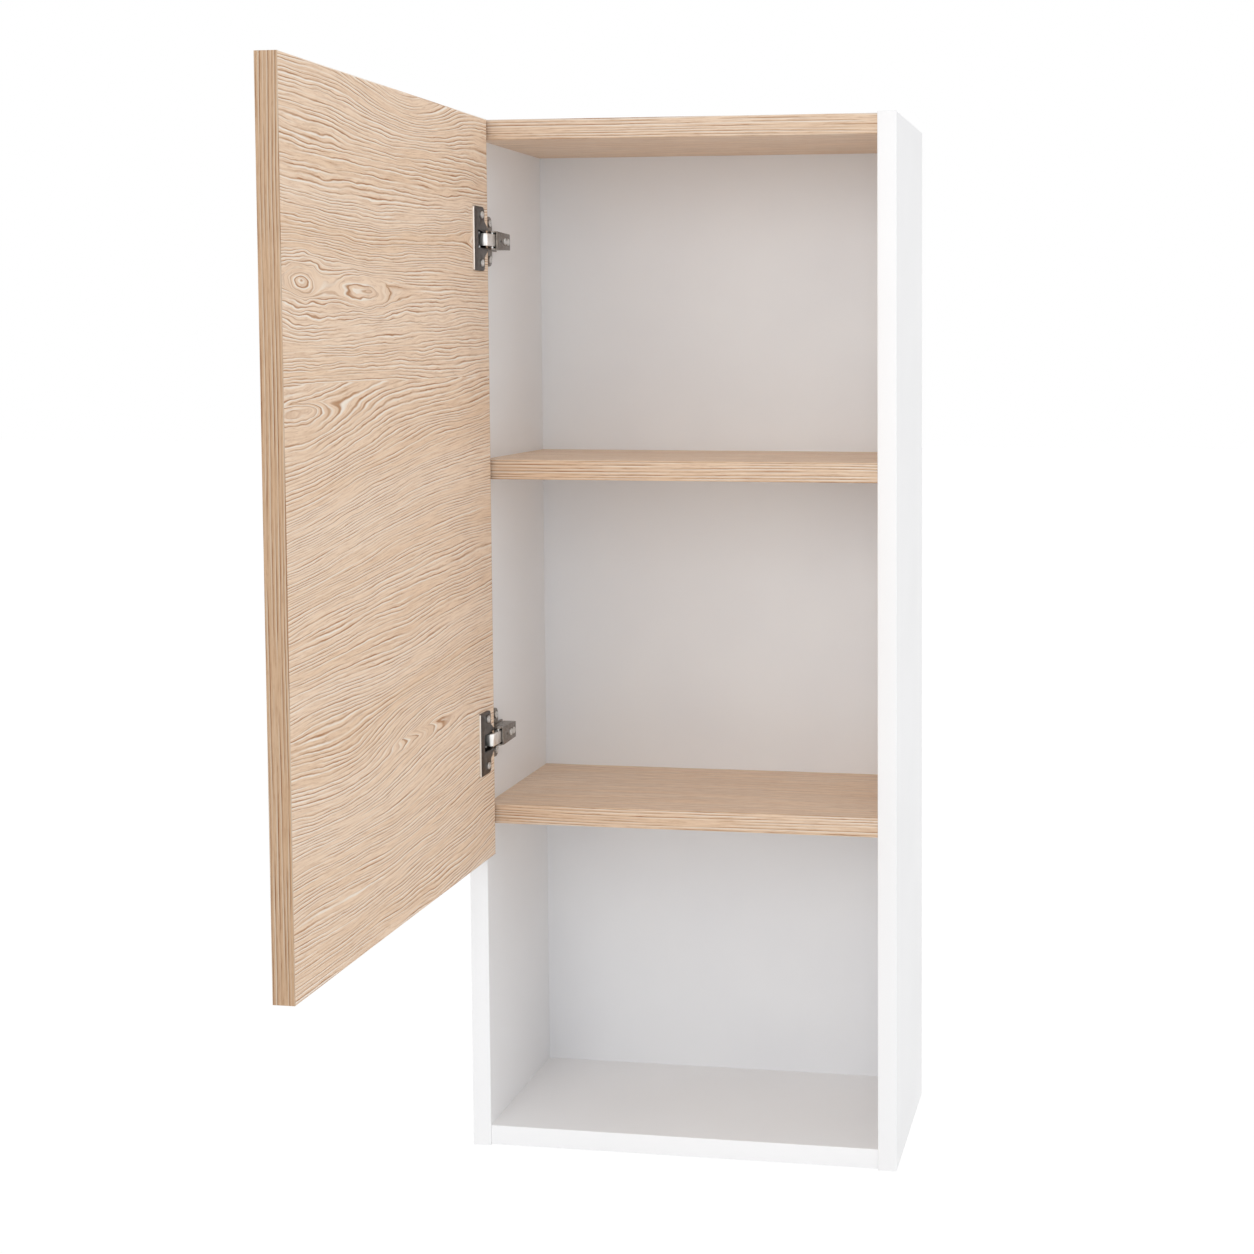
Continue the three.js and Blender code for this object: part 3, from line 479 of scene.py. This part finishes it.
# %% Oak finishes
BOARD_WANDER = 0.5
BAND_WANDER = 0.15
BAND_PITCH = 0.0028
OAK_DOOR = oak_material("oak_door_face", "YZX", (0.31, 0.12, 0.0), push=door_push)
OAK_ACROSS = oak_material("oak_board_face", "XYZ", (0.75, 0.40, 0.0), wander=BOARD_WANDER)
OAK_BAND_ALONG = {
    "x": oak_material("oak_band_across", "XZY", (0.10, 0.55, 0.20), wander=BAND_WANDER,
                      pitch=BAND_PITCH, tint=(0.90, 0.89, 0.88)),
    "y": oak_material("oak_band_deep", "YXZ", (0.60, 0.80, 0.45), wander=BAND_WANDER,
                      pitch=BAND_PITCH),
    "z": oak_material("oak_band_upright", "ZXY", (0.20, 0.30, 0.10), wander=BAND_WANDER,
                      pitch=BAND_PITCH, tint=(0.66, 0.59, 0.51)),
}
print("oak materials", [m.name for m in (OAK_DOOR, OAK_ACROSS, *OAK_BAND_ALONG.values())])

# %% [markdown]
# The white boards are particle board under a satin melamine film. The film has a faint
# pebbled tooth and hardly any colour of its own. The edge bands are a slightly glossier
# plastic strip. The thin back is plainer, and a little greyer and cooler than the boards.
# The grey is partly the back board's own tone and partly painted shade for the dim inside
# of the cabinet, and the cool tint offsets the warm light that the oak throws onto it.


# %% White materials
LAMINATE_MOTTLE = 7.0
LAMINATE_TOOTH = 1400.0
LAMINATE_TOOTH_DEPTH = 0.2 * MM
LAMINATE_UNEVEN = 0.03


def laminate_material(name, colour, shade, roughness, tooth_strength):
    material, tree, shader = new_material(name)
    place = add_node(tree, "ShaderNodeTexCoord").outputs["Object"]
    surface = group_node(tree, SURFACE, {"Vector": place, "Mottle Scale": LAMINATE_MOTTLE,
                                         "Tooth Scale": LAMINATE_TOOTH})
    tree.links.new(mixed_colour(tree, surface.outputs["Mottle"], colour, shade),
                   shader.inputs["Base Color"])
    tree.links.new(remap(tree, surface.outputs["Mottle"], 0.0, 1.0,
                         roughness - LAMINATE_UNEVEN, roughness + LAMINATE_UNEVEN),
                   shader.inputs["Roughness"])
    bump = add_node(tree, "ShaderNodeBump", None,
                    {"Strength": tooth_strength, "Distance": LAMINATE_TOOTH_DEPTH,
                     "Height": surface.outputs["Tooth"]})
    tree.links.new(bump.outputs["Normal"], shader.inputs["Normal"])
    return material


WHITE_FACE = laminate_material("white_laminate", srgb(244, 244, 245), srgb(241, 241, 242),
                               0.42, 0.10)
WHITE_BAND = laminate_material("white_edge_band", srgb(252, 252, 253), srgb(250, 250, 251),
                               0.34, 0.06)
# The back's colour is partly its own tone and partly painted shade: greyer and cooler than the
# boards.
WHITE_BACK_WITH_PAINTED_SHADE = laminate_material("white_back_board_with_painted_shade", srgb(237, 238, 240), srgb(233, 234, 237),
                               0.5, 0.12)
print("white materials", WHITE_FACE.name, WHITE_BAND.name, WHITE_BACK_WITH_PAINTED_SHADE.name)

# %% [markdown]
# The metal parts are steel with four coats: dark nickel on the cup, grey nickel on the arm
# and the plate, bright nickel on the outer link, and pale zinc on the rest. The cup's flange
# also has a painted highlight in the same bright nickel along the edge that faces the door's
# free edge. A plated stamping has fine drawing lines and a tumbled, slightly pitted skin.
# Both come from noise: one stretched along the height of the hinge, one even.

# %% Metal materials
PLATING_MOTTLE = 260.0
PLATING_TOOTH = 5200.0
DRAWN_SCALE = (2600.0, 2600.0, 260.0)
DRAWN_SHARE = 0.7
PITTED_SHARE = 0.3
PLATING_DEPTH = 0.05 * MM
SMOOTHER, ROUGHER = 0.06, 0.08


def plated_material(name, colour, shade, roughness, line_strength):
    material, tree, shader = new_material(name)
    place = add_node(tree, "ShaderNodeTexCoord").outputs["Object"]
    surface = group_node(tree, SURFACE, {"Vector": place, "Mottle Scale": PLATING_MOTTLE,
                                         "Tooth Scale": PLATING_TOOTH})
    drawn = noise(tree, scaled_vector(tree, place, DRAWN_SCALE), detail=2.0)
    height = math_node(tree, "ADD", math_node(tree, "MULTIPLY", drawn, DRAWN_SHARE),
                       math_node(tree, "MULTIPLY", surface.outputs["Tooth"], PITTED_SHARE))
    tree.links.new(mixed_colour(tree, surface.outputs["Mottle"], colour, shade),
                   shader.inputs["Base Color"])
    tree.links.new(remap(tree, drawn, *NOISE_SPREAD, roughness - SMOOTHER,
                         roughness + ROUGHER), shader.inputs["Roughness"])
    shader.inputs["Metallic"].default_value = 1.0
    bump = add_node(tree, "ShaderNodeBump", None,
                    {"Strength": line_strength, "Distance": PLATING_DEPTH, "Height": height})
    tree.links.new(bump.outputs["Normal"], shader.inputs["Normal"])
    return material


NICKEL = plated_material("grey_nickel", srgb(150, 143, 136), srgb(128, 121, 115), 0.30, 0.35)
# Bright nickel for the outer link, also used as the painted highlight on the cup flange's front
# edge.
BRIGHT_NICKEL_AND_HIGHLIGHT = plated_material("bright_nickel", srgb(250, 248, 245), srgb(242, 240, 236),
                                0.40, 0.15)
ZINC = plated_material("bright_zinc", srgb(236, 235, 233), srgb(214, 213, 211), 0.34, 0.3)
GUNMETAL = plated_material("dark_nickel", srgb(104, 98, 93), srgb(86, 81, 78), 0.34, 0.35)
print("metal materials", NICKEL.name, BRIGHT_NICKEL_AND_HIGHLIGHT.name, ZINC.name, GUNMETAL.name)

# %% [markdown]
# The dowels are turned from beech: paler than oak, with fine flecks instead of open pores.
# They use the oak group too, with a short wander and colours that lie close together.

# %% Beech for the dowels
BEECH_WANDER = 0.1
BEECH_PITCH = 0.0012
BEECH, beech_tree, beech_shader = new_material("beech_dowel")
_, beech_vector = grain_vector(beech_tree, "XYZ", (0.0, 0.0, 0.0))
# The beech's palest colour is a painted highlight beside each line, close to its wood's own
# colour.
beech = group_node(beech_tree, OAK_GRAIN, {
    "Vector": beech_vector, "Wander": BEECH_WANDER, "Pitch": BEECH_PITCH,
    "Light": srgb(222, 192, 154), "Warm": srgb(214, 182, 142),
    "Painted Highlight": srgb(228, 200, 164), "Dark": srgb(196, 160, 120)})
finish_oak(beech_tree, beech_shader, beech)
print("dowel material", BEECH.name)

# %% [markdown]
# Boards. A board is cut from a large laminated sheet, and then a band about a millimetre
# thick is glued on each cut edge and its corners are eased. A bevelled box would lose the
# hairline where band and board meet, and a painted line would vanish close up. So the board's
# own solid is sliced a band's thickness inside each banded edge, and the band is a strip of
# its own that fills the slice. The strip's outer corners are rounded.

# %% Helpers for boards and bands
BAND_THICKNESS = 0.9 * MM
BAND_ROUNDING = 0.55 * MM
AXES = {"x": 0, "y": 1, "z": 2}
SIDE_NAMES = {"-x": "left", "+x": "right", "-y": "front", "+y": "rear",
              "-z": "lower", "+z": "upper"}
SMOOTH_BELOW = math.radians(32)
FACES_REAR = 0.7


def mesh_object(name, bm, materials):
    """Makes an object of a finished bmesh, smooth except over its sharp edges."""
    for face in bm.faces:
        face.smooth = True
    for edge in bm.edges:
        if len(edge.link_faces) == 2:
            edge.smooth = edge.calc_face_angle(0.0) < SMOOTH_BELOW
    mesh = bpy.data.meshes.new(name)
    bm.to_mesh(mesh)
    bm.free()
    for material in materials:
        mesh.materials.append(material)
    piece = bpy.data.objects.new(name, mesh)
    bpy.context.scene.collection.objects.link(piece)
    return piece


def merged_copy(node):
    """The CAD node's loose triangles, joined into one closed bmesh."""
    bm = bmesh.new()
    bm.from_mesh(NODES[node].data)
    bmesh.ops.remove_doubles(bm, verts=bm.verts, dist=2e-6)
    bmesh.ops.dissolve_degenerate(bm, edges=bm.edges, dist=1e-6)
    return bm


def slice_off(bm, side, keep_until):
    """Cuts away everything past a plane, and closes the cut."""
    axis, sign = AXES[side[1]], 1 if side[0] == "+" else -1
    point, normal = Vector(), Vector()
    point[axis] = keep_until
    normal[axis] = sign
    cut = bmesh.ops.bisect_plane(
        bm, geom=bm.verts[:] + bm.edges[:] + bm.faces[:], dist=1e-7, plane_co=point,
        plane_no=normal, clear_outer=True)
    rim = [item for item in cut["geom_cut"] if isinstance(item, bmesh.types.BMEdge)]
    bmesh.ops.holes_fill(bm, edges=[edge for edge in rim if edge.is_boundary], sides=0)


def band_strip(name, low, high, side, material):
    """A strip that fills low to high, rounded along the edges of its outer face."""
    axis, sign = AXES[side[1]], 1 if side[0] == "+" else -1
    bm = bmesh.new()
    size = high - low
    bmesh.ops.create_cube(bm, size=1.0, matrix=Matrix.Translation((low + high) / 2)
                          @ Matrix.Diagonal((*size, 1.0)))
    outer = (high if sign > 0 else low)[axis]
    rims = [edge for edge in bm.edges
            if all(abs(vert.co[axis] - outer) < 1e-6 for vert in edge.verts)]
    bmesh.ops.bevel(bm, geom=rims, offset=BAND_ROUNDING, offset_type="OFFSET", segments=3,
                    profile=0.5, affect="EDGES", material=-1, clamp_overlap=True)
    return mesh_object(name, bm, [material])


def finish_board(node, face_material, bands, rear_material=None):
    """Replaces a board by its core and its edge bands. bands: side, material, in order."""
    low, high = (Vector(corner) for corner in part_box(node))
    bm = merged_copy(node)
    strips = []
    for side, material in bands:
        axis, positive = AXES[side[1]], side[0] == "+"
        strip_low, strip_high = low.copy(), high.copy()
        if positive:
            high[axis] -= BAND_THICKNESS
            strip_low[axis] = high[axis]
        else:
            low[axis] += BAND_THICKNESS
            strip_high[axis] = low[axis]
        slice_off(bm, side, (high if positive else low)[axis])
        strips.append(band_strip(f"{node}_{SIDE_NAMES[side]}_band", strip_low, strip_high,
                                 side, material))
    core_materials = [face_material]
    if rear_material is not None:
        # The grain of the rear edge runs along it, as a band's does.
        core_materials.append(rear_material)
        bm.normal_update()
        for face in bm.faces:
            face.material_index = 1 if face.normal.y > FACES_REAR else 0
    core = mesh_object(f"{node}_board", bm, core_materials)
    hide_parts(node)
    for piece in [core, *strips]:
        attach(piece, BODY_OF[node])
    print(node, "core faces", len(core.data.polygons), "bands", len(strips))
    return core, strips


# %% [markdown]
# The white boards. The sides are banded at the front first, so that the front strip runs
# from end to end, then above and below. The rear edges stay as the saw left them, hidden
# against the wall, so they keep the film's colour here.

# %% White boards
for side_node in ("left_side", "right_side"):
    finish_board(side_node, WHITE_FACE, [("-y", WHITE_BAND), ("-z", WHITE_BAND),
                                         ("+z", WHITE_BAND)])
finish_board("bottom_panel", WHITE_FACE, [("-y", WHITE_BAND)])

# %% [markdown]
# The oak boards. The top and the shelves are banded at the front only. Their rear edges are
# bare, but they are given the band's finish, whose grain runs along the edge. The door is
# seen on all sides: its two upright bands run full height, and the ones above and below fit
# between them.

# %% Oak boards and the door
for shelf in ("top_panel", "middle_shelf", "lower_shelf"):
    finish_board(shelf, OAK_ACROSS, [("-y", OAK_BAND_ALONG["x"])], OAK_BAND_ALONG["x"])
finish_board("door_panel", OAK_DOOR, [("-y", OAK_BAND_ALONG["z"]), ("+y", OAK_BAND_ALONG["z"]),
                                      ("-z", OAK_BAND_ALONG["y"]), ("+z", OAK_BAND_ALONG["y"])])

# %% [markdown]
# Stamped and turned metal. The CAD solids have the right shape but knife-sharp corners, and
# a sharp corner catches no light. A copy of each is merged, its flat faces are made whole,
# and its sharp edges get a small round, the one that stamping, tumbling and plating leave.

# %% Helper for rounded copies
# How far back from the flange's front edge its painted highlight reaches.
PAINTED_HIGHLIGHT_DEPTH = 1.0 * MM
FACES_FRONT = -0.35
FLAT_WITHIN = math.radians(0.6)
SHARP_ABOVE = math.radians(40)
MOST_CORNERS = 4


def rounded_copy(node, materials, radius):
    """Replaces a metal node by a copy whose sharp edges are rounded."""
    bm = merged_copy(node)
    bmesh.ops.dissolve_limit(bm, angle_limit=FLAT_WITHIN, verts=bm.verts, edges=bm.edges,
                             use_dissolve_boundaries=False)
    corners = [edge for edge in bm.edges
               if len(edge.link_faces) == 2 and edge.calc_face_angle(0.0) > SHARP_ABOVE]
    bmesh.ops.bevel(bm, geom=corners, offset=radius, offset_type="OFFSET", segments=2,
                    profile=0.5, affect="EDGES", material=-1, clamp_overlap=True)
    bmesh.ops.triangulate(bm, faces=[face for face in bm.faces
                                     if len(face.verts) > MOST_CORNERS])
    if len(materials) > 1:
        # The cup's flange gets a painted highlight, in bright nickel, along the edge that faces
        # the door's free edge.
        bm.normal_update()
        front = min(vert.co.y for vert in bm.verts)
        for face in bm.faces:
            in_painted_highlight = face.calc_center_median().y < front + PAINTED_HIGHLIGHT_DEPTH
            if in_painted_highlight and face.normal.y < FACES_FRONT:
                face.material_index = 1
    piece = mesh_object(f"{node}_plated", bm, materials)
    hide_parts(node)
    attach(piece, BODY_OF[node])
    return piece


# %% Rounded copies of the metal pieces
SCREW_ROUNDING = 0.12 * MM
HANGER_ROUNDING = 0.25 * MM
STAMPED = {
    # The cup's second finish is the painted highlight along its flange's front edge.
    "hinge_cup": ([GUNMETAL, BRIGHT_NICKEL_AND_HIGHLIGHT], 0.35 * MM),
    "hinge_arm": ([NICKEL], 0.30 * MM),
    "mounting_plate": ([NICKEL], 0.35 * MM),
    "outer_link": ([BRIGHT_NICKEL_AND_HIGHLIGHT], 0.25 * MM),
    "inner_link": ([ZINC], 0.2 * MM),
}
HINGE_SCREWS = ("cup_screw_high", "cup_screw_low", "plate_screw_high", "plate_screw_low",
                "adjusting_screw", "fixing_screw")
TURNED = {screw: ([ZINC], SCREW_ROUNDING) for screw in HINGE_SCREWS}
for hinge in ("upper", "lower"):
    for kind, (materials, radius) in {**STAMPED, **TURNED}.items():
        made = rounded_copy(f"{hinge}_{kind}", materials, radius)
        print(made.name, "faces", len(made.data.polygons))
for end in ("left", "right"):
    rounded_copy(f"{end}_hanger_plate", [ZINC], HANGER_ROUNDING)
    for which in ("outer", "inner"):
        rounded_copy(f"{end}_hanger_screw_{which}", [ZINC], SCREW_ROUNDING)

# %% [markdown]
# The rest of the nodes already have their final shape: the back, the dowels, the pins and
# the closing springs. They keep their meshes and only take a finish. The pins and springs
# are thin wire deep inside the hinge, where a softer corner would hardly be seen.

# %% Finishes for the nodes that stay
STAYING = {"back_panel": WHITE_BACK_WITH_PAINTED_SHADE}
STAYING.update({node: BEECH for node in NODES if "_dowel_" in node})
STAYING.update({node: ZINC for node in NODES
                if node.endswith(("_cup_pin", "_arm_front_pin", "_arm_rear_pin",
                                  "_closing_spring"))})
for node, material in STAYING.items():
    NODES[node].data.materials.clear()
    NODES[node].data.materials.append(material)
print(len(STAYING), "nodes keep their own mesh")

# %% [markdown]
# The room. The cabinet hangs well above a pale floor, with nothing behind it. To the camera
# the floor and the sky are paper white, and so they are to a mirror, but the light that they
# send onto the cabinet is set apart from that, so the white needs no extra lamps.

# %% Floor and world
FLOOR_DROP = 0.45
FLOOR_SIZE = 40.0
WORLD_LIGHT = 0.70
FLOOR_WHITE = 0.90
FLOOR_GLOW = 1.05
FLOOR_COLOUR = (0.86, 0.86, 0.86, 1.0)
FLOOR_ROUGHNESS = 0.9
PAPER_WHITE = (1.0, 1.0, 1.0, 1.0)


def sees_white(tree):
    """1 for a camera, mirror or glass ray, and 0 for the light that falls on things."""
    path = add_node(tree, "ShaderNodeLightPath")
    seen = math_node(tree, "MAXIMUM", path.outputs["Is Camera Ray"],
                     path.outputs["Is Glossy Ray"])
    return math_node(tree, "MAXIMUM", seen, path.outputs["Is Transmission Ray"])


floor_bm = bmesh.new()
bmesh.ops.create_grid(floor_bm, x_segments=1, y_segments=1, size=FLOOR_SIZE / 2,
                      matrix=Matrix.Translation((0, 0, CAD_BOX[0][2] - FLOOR_DROP)))
floor_material, floor_tree, floor_shader = new_material("pale_floor")
floor_shader.inputs["Base Color"].default_value = FLOOR_COLOUR
floor_shader.inputs["Roughness"].default_value = FLOOR_ROUGHNESS
glow = add_node(floor_tree, "ShaderNodeEmission", None,
                {"Color": PAPER_WHITE, "Strength": FLOOR_GLOW})
floor_mix = add_node(floor_tree, "ShaderNodeMixShader", None, {
    0: math_node(floor_tree, "MULTIPLY", sees_white(floor_tree), FLOOR_WHITE),
    1: floor_shader.outputs[0], 2: glow.outputs[0]})
floor_tree.links.new(floor_mix.outputs[0], floor_tree.nodes["Material Output"].inputs[0])
floor = mesh_object("floor", floor_bm, [floor_material])

world = bpy.data.worlds.new("studio")
bpy.context.scene.world = world
world.use_nodes = True
sky = world.node_tree.nodes["Background"]
sky.inputs["Color"].default_value = PAPER_WHITE
world.node_tree.links.new(
    remap(world.node_tree, sees_white(world.node_tree), 0.0, 1.0, WORLD_LIGHT, 1.0),
    sky.inputs["Strength"])
print("floor at", round(CAD_BOX[0][2] - FLOOR_DROP, 3))

# %% [markdown]
# Lamps. A product like this is lit by large soft boxes. The strongest stands in front and
# high, and gives the shelves their soft shadows. One far to the right, level with the boards'
# front edges, lights the cabinet's right side and the open door, and hardly the inside. Two
# faint ones, on the left and above, open up the front edges and the shelves.

# %% Soft boxes
CENTRE = (Vector(CAD_BOX[0]) + Vector(CAD_BOX[1])) / 2


def soft_box(name, place, size, power):
    """A square lamp, placed from the cabinet's centre in metres and aimed at it."""
    lamp = bpy.data.lights.new(name, "AREA")
    lamp.shape = "SQUARE"
    lamp.size = size
    lamp.energy = power
    holder = bpy.data.objects.new(name, lamp)
    holder.location = CENTRE + Vector(place)
    holder.rotation_euler = (-Vector(place)).to_track_quat("-Z", "Y").to_euler()
    bpy.context.scene.collection.objects.link(holder)


soft_box("front_box", (-0.15, -2.8, 0.9), size=2.2, power=21.0)
soft_box("left_box", (-1.8, -2.2, 0.5), size=1.6, power=4.0)
soft_box("side_box", (2.8, 0.1, 0.4), size=1.6, power=16.0)
soft_box("top_box", (0.0, -1.3, 2.4), size=1.6, power=3.0)
print("soft boxes aim at", [round(v, 3) for v in CENTRE])

# %% [markdown]
# The camera stands a little to the right of the cabinet, below the height of its top, and
# looks almost straight at the wall. Its sensor is shifted as a view camera's back is, which
# keeps the uprights nearly parallel. A larger shift and no pitch would make them exactly so,
# but would push the cabinet out of the frame wherever else the camera is taken.

# %% Camera
CAMERA_PLACE = (0.4555, -1.8672, -0.2072)
CAMERA_TURN = math.radians(8.18)
CAMERA_PITCH = math.radians(3.29)
CAMERA_LENS = 52.71
CAMERA_SENSOR = 36.0
CAMERA_SHIFT = (-0.2177, -0.1411)

camera_data = bpy.data.cameras.new("camera")
camera_data.sensor_width = CAMERA_SENSOR
camera_data.lens = CAMERA_LENS
camera_data.shift_x, camera_data.shift_y = CAMERA_SHIFT
camera = bpy.data.objects.new("camera", camera_data)
camera.location = CAMERA_PLACE
camera.rotation_euler = (math.pi / 2 - CAMERA_PITCH, 0.0, CAMERA_TURN)
bpy.context.scene.collection.objects.link(camera)
bpy.context.scene.camera = camera
bpy.context.scene.view_settings.view_transform = "Standard"
print("camera at", CAMERA_PLACE, "lens", CAMERA_LENS)
